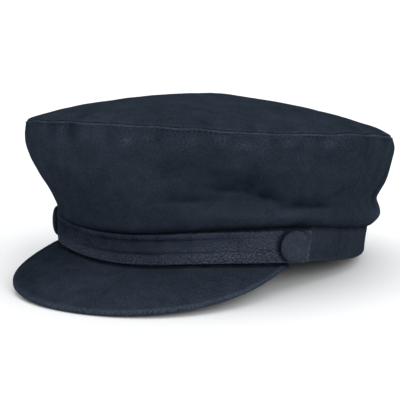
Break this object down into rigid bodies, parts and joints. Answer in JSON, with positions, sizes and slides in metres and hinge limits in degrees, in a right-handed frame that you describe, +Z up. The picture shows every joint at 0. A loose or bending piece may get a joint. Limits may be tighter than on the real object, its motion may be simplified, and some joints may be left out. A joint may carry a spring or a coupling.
{
  "type": "breton fisherman cap",
  "caption": "Soft twill cap: a slouched oval crown with a low domed top, a head band, a folded strap between two covered buttons and a short stiff peak.",
  "frame": {"origin": "middle of the bottom of the cap's box, on the table that the cap rests on", "axes": "+Z up, -Y towards the peak, +X towards the wearer's left"},
  "size_m": [0.212, 0.2562, 0.1024],
  "materials": {
    "crown_twill": "soft matt navy cotton twill",
    "band_twill": "matt navy cotton twill with a row of topstitching",
    "strap_twill": "folded and pressed navy cotton twill",
    "peak_twill": "navy cotton twill drawn over a stiff board",
    "button_cloth": "navy cotton twill drawn over a domed shell"
  },
  "bodies": {
    "root": {"crown_top": "crown_twill", "crown_front": "crown_twill", "crown_back": "crown_twill", "band_front": "band_twill", "band_back": "band_twill", "strap": "strap_twill", "peak": "peak_twill", "button_left": "button_cloth", "button_right": "button_cloth"}
  },
  "joints": []
}
